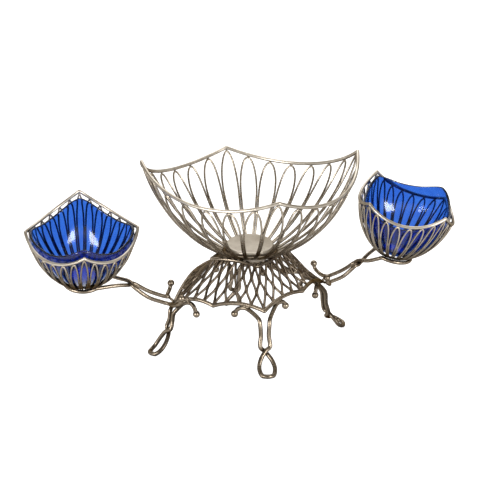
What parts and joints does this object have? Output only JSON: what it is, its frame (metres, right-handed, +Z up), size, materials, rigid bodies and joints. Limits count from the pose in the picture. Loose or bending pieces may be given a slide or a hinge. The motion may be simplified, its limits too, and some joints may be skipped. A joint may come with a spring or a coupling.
{
  "type": "epergne",
  "caption": "Silver-plated wirework table centrepiece: a latticed stand on looped wire legs carries an open wire basket and, on side arms, smaller wire baskets with lift-out blue glass liners.",
  "frame": {"origin": "on the table, below the common axis of the main basket and its stand, in the middle of the feet", "axes": "+Z up, +X along the arms to the right-hand basket as seen from the front, -Y to the front leg"},
  "size_m": [0.4759, 0.2408, 0.2098],
  "materials": {
    "stand_wire": "silver plate, softly polished",
    "fine_wire": "silver plate, slightly tarnished",
    "bright_silver": "silver plate, polished",
    "cobalt_glass": "clear cobalt blue"
  },
  "bodies": {
    "stand": {"top_rim": "stand_wire", "lower_rim": "stand_wire", "leg_front": "stand_wire", "leg_right": "stand_wire", "leg_back": "stand_wire", "leg_left": "stand_wire", "arm_left": "stand_wire", "arm_right": "stand_wire", "main_base_ring": "stand_wire", "skirt_front_right": "fine_wire", "skirt_back_right": "fine_wire", "skirt_back_left": "fine_wire", "skirt_front_left": "fine_wire", "main_loops_front_right": "fine_wire", "main_loops_back_right": "fine_wire", "main_loops_back_left": "fine_wire", "main_loops_front_left": "fine_wire", "main_rim": "bright_silver", "main_floor": "bright_silver", "leg_balls_front": "bright_silver", "leg_balls_right": "bright_silver", "leg_balls_back": "bright_silver", "leg_balls_left": "bright_silver", "arm_balls_left": "bright_silver", "arm_balls_right": "bright_silver"},
    "left_basket": {"left_rim": "bright_silver", "left_loops": "fine_wire", "left_base_ring": "stand_wire"},
    "right_basket": {"right_rim": "bright_silver", "right_loops": "fine_wire", "right_base_ring": "stand_wire"},
    "left_liner": {"left_glass": "cobalt_glass"},
    "right_liner": {"right_glass": "cobalt_glass"}
  },
  "joints": [
    {"name": "left_basket_lift", "type": "slide", "parent": "stand", "child": "left_basket", "axis": [-0.0608, -0.3449, 0.9367], "range_m": [0, 0.06]},
    {"name": "left_liner_lift", "type": "slide", "parent": "left_basket", "child": "left_liner", "axis": [-0.0608, -0.3449, 0.9367], "range_m": [0, 0.07]},
    {"name": "right_basket_lift", "type": "slide", "parent": "stand", "child": "right_basket", "axis": [0.1893, -0.1765, 0.9659], "range_m": [0, 0.06]},
    {"name": "right_liner_lift", "type": "slide", "parent": "right_basket", "child": "right_liner", "axis": [0.1893, -0.1765, 0.9659], "range_m": [0, 0.07]}
  ]
}
